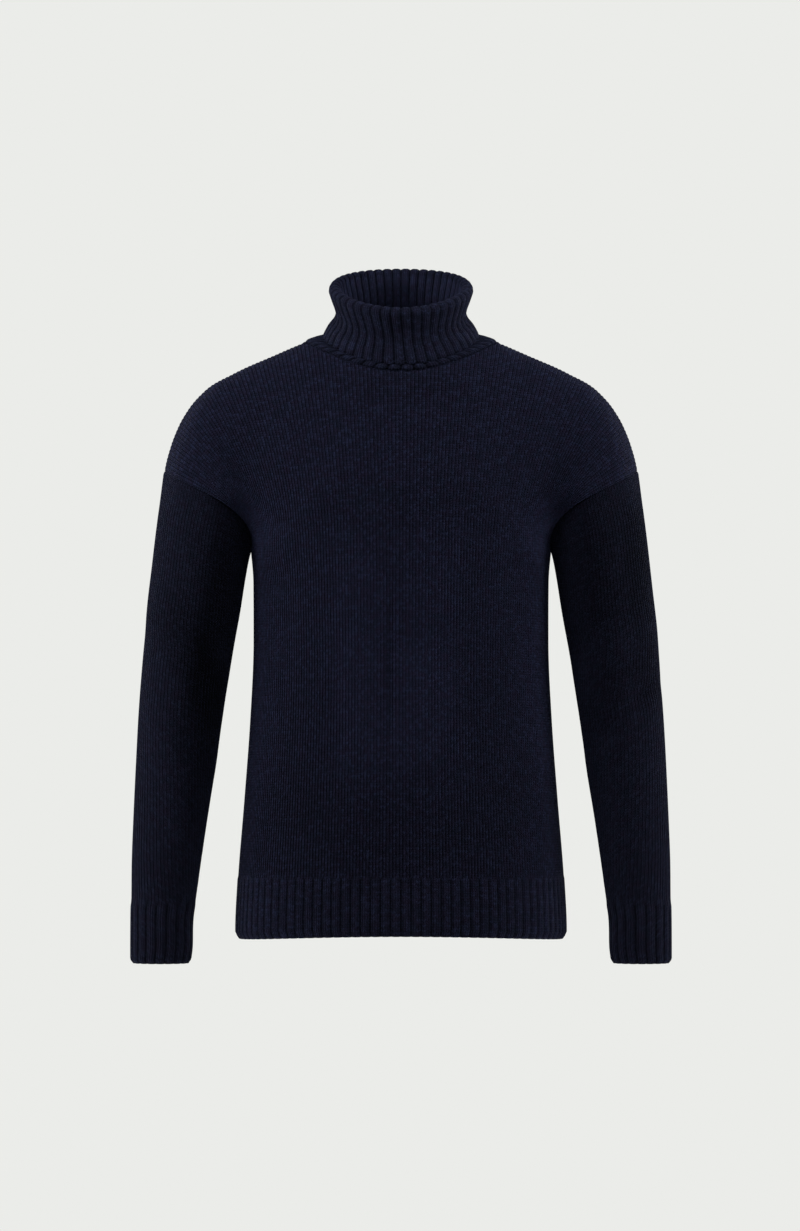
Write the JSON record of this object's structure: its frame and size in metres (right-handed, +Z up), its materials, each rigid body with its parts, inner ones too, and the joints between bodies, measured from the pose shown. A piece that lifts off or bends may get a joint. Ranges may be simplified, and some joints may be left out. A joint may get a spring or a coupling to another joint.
{
  "type": "turtleneck sweater",
  "caption": "Long-sleeved sweater with a folded ribbed turtleneck, drop shoulders, and ribbed cuffs and hem, filled out as if worn.",
  "frame": {"origin": "midway between the two points where the shoulders meet the collar, at their height", "axes": "+Z up, -Y out of the garment's front, +X towards the wearer's left, on the right when seen from the front"},
  "size_m": [0.594, 0.2366, 0.7654],
  "materials": {
    "body_knit": "matte",
    "sleeve_knit": "matte",
    "collar_rib": "matte"
  },
  "bodies": {
    "root": {"front_panel": "body_knit", "back_panel": "body_knit", "sleeve_left": "sleeve_knit", "sleeve_right": "sleeve_knit", "collar": "collar_rib"}
  },
  "joints": []
}
